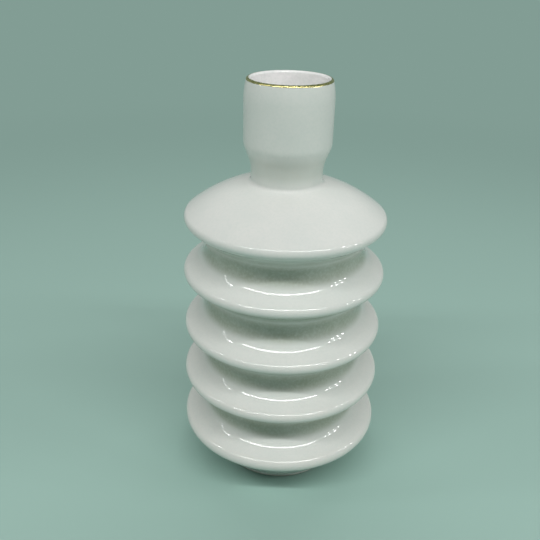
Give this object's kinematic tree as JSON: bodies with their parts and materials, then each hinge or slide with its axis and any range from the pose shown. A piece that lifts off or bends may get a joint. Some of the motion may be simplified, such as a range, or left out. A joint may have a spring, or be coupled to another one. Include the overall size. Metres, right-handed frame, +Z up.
{
  "type": "vase",
  "caption": "Glazed ceramic vase: a stack of round discs with rounded grooves between them, a domed shoulder, and a narrow neck that flares into a straight cup with a gold line at the lip.",
  "frame": {"origin": "centre of the foot, on the surface that the vase stands on", "axes": "+Z up along the vase's axis; X and Y level, with no front"},
  "size_m": [0.1016, 0.1016, 0.2],
  "materials": {
    "fired_clay": "unglazed fired clay, fine matt grain",
    "white_glaze": "glossy warm white glaze with a faint ripple",
    "gold_lustre": "bright gold lustre, thin and slightly uneven"
  },
  "bodies": {
    "root": {"ribbed_body": "fired_clay", "neck": "fired_clay", "neck_joint": "fired_clay", "outer_glaze": "white_glaze", "inner_glaze": "white_glaze", "gilt_line": "gold_lustre"}
  },
  "joints": []
}
